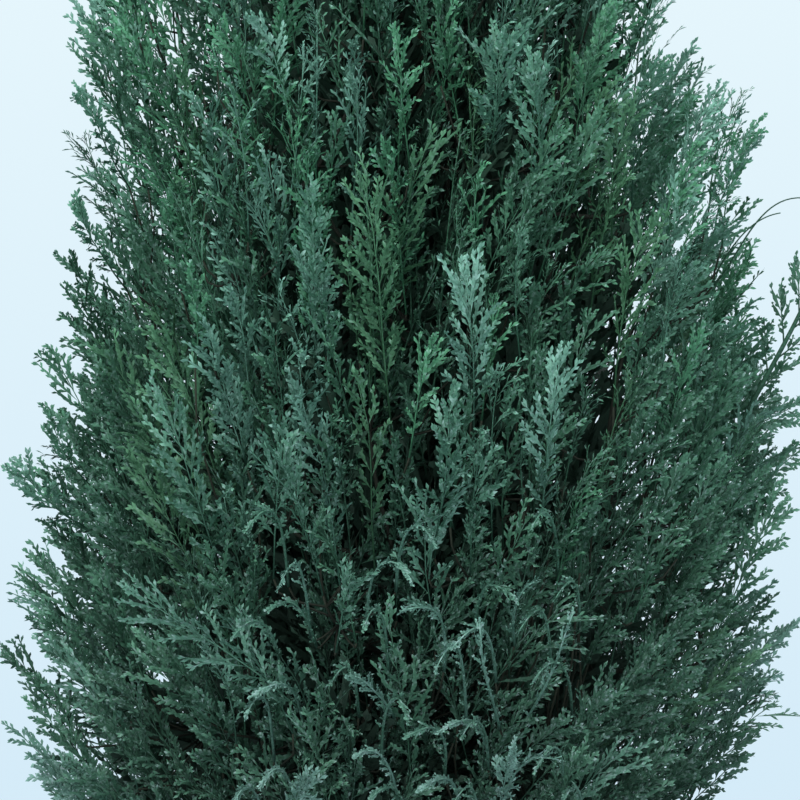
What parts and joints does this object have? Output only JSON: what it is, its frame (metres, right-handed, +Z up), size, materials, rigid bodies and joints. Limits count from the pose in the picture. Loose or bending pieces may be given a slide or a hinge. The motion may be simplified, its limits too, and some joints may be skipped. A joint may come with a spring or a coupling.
{
  "type": "lawson cypress tree",
  "caption": "Young columnar lawson cypress with one trunk, ascending boughs and dense upswept masses of flat blue-green sprays, cut flat at the ground.",
  "frame": {"origin": "middle of the flat cut under the trunk, at ground level", "axes": "+Z up the trunk, +X to the right and -Y towards the viewer as the picture is seen"},
  "size_m": [0.3867, 0.348, 0.93],
  "materials": {
    "bark": "rough",
    "scale_leaves": "matt"
  },
  "bodies": {
    "root": {"bough_high_1": "bark", "bough_high_2": "bark", "bough_high_3": "bark", "bough_high_4": "bark", "bough_lower_1": "bark", "bough_lower_2": "bark", "bough_lower_3": "bark", "bough_lower_4": "bark", "bough_lower_5": "bark", "bough_lower_6": "bark", "bough_middle_1": "bark", "bough_middle_2": "bark", "bough_middle_3": "bark", "bough_middle_4": "bark", "bough_middle_5": "bark", "bough_middle_6": "bark", "bough_skirt_1": "bark", "bough_skirt_2": "bark", "bough_skirt_3": "bark", "bough_skirt_4": "bark", "bough_skirt_5": "bark", "bough_upper_1": "bark", "bough_upper_2": "bark", "bough_upper_3": "bark", "bough_upper_4": "bark", "bough_upper_5": "bark", "foliage_high_1": "scale_leaves", "foliage_high_2": "scale_leaves", "foliage_high_3": "scale_leaves", "foliage_high_4": "scale_leaves", "foliage_lower_1": "scale_leaves", "foliage_lower_2": "scale_leaves", "foliage_lower_3": "scale_leaves", "foliage_lower_4": "scale_leaves", "foliage_lower_5": "scale_leaves", "foliage_lower_6": "scale_leaves", "foliage_middle_1": "scale_leaves", "foliage_middle_2": "scale_leaves", "foliage_middle_3": "scale_leaves", "foliage_middle_4": "scale_leaves", "foliage_middle_5": "scale_leaves", "foliage_middle_6": "scale_leaves", "foliage_skirt_1": "scale_leaves", "foliage_skirt_2": "scale_leaves", "foliage_skirt_3": "scale_leaves", "foliage_skirt_4": "scale_leaves", "foliage_skirt_5": "scale_leaves", "foliage_spire": "scale_leaves", "foliage_upper_1": "scale_leaves", "foliage_upper_2": "scale_leaves", "foliage_upper_3": "scale_leaves", "foliage_upper_4": "scale_leaves", "foliage_upper_5": "scale_leaves", "trunk": "bark"}
  },
  "joints": []
}
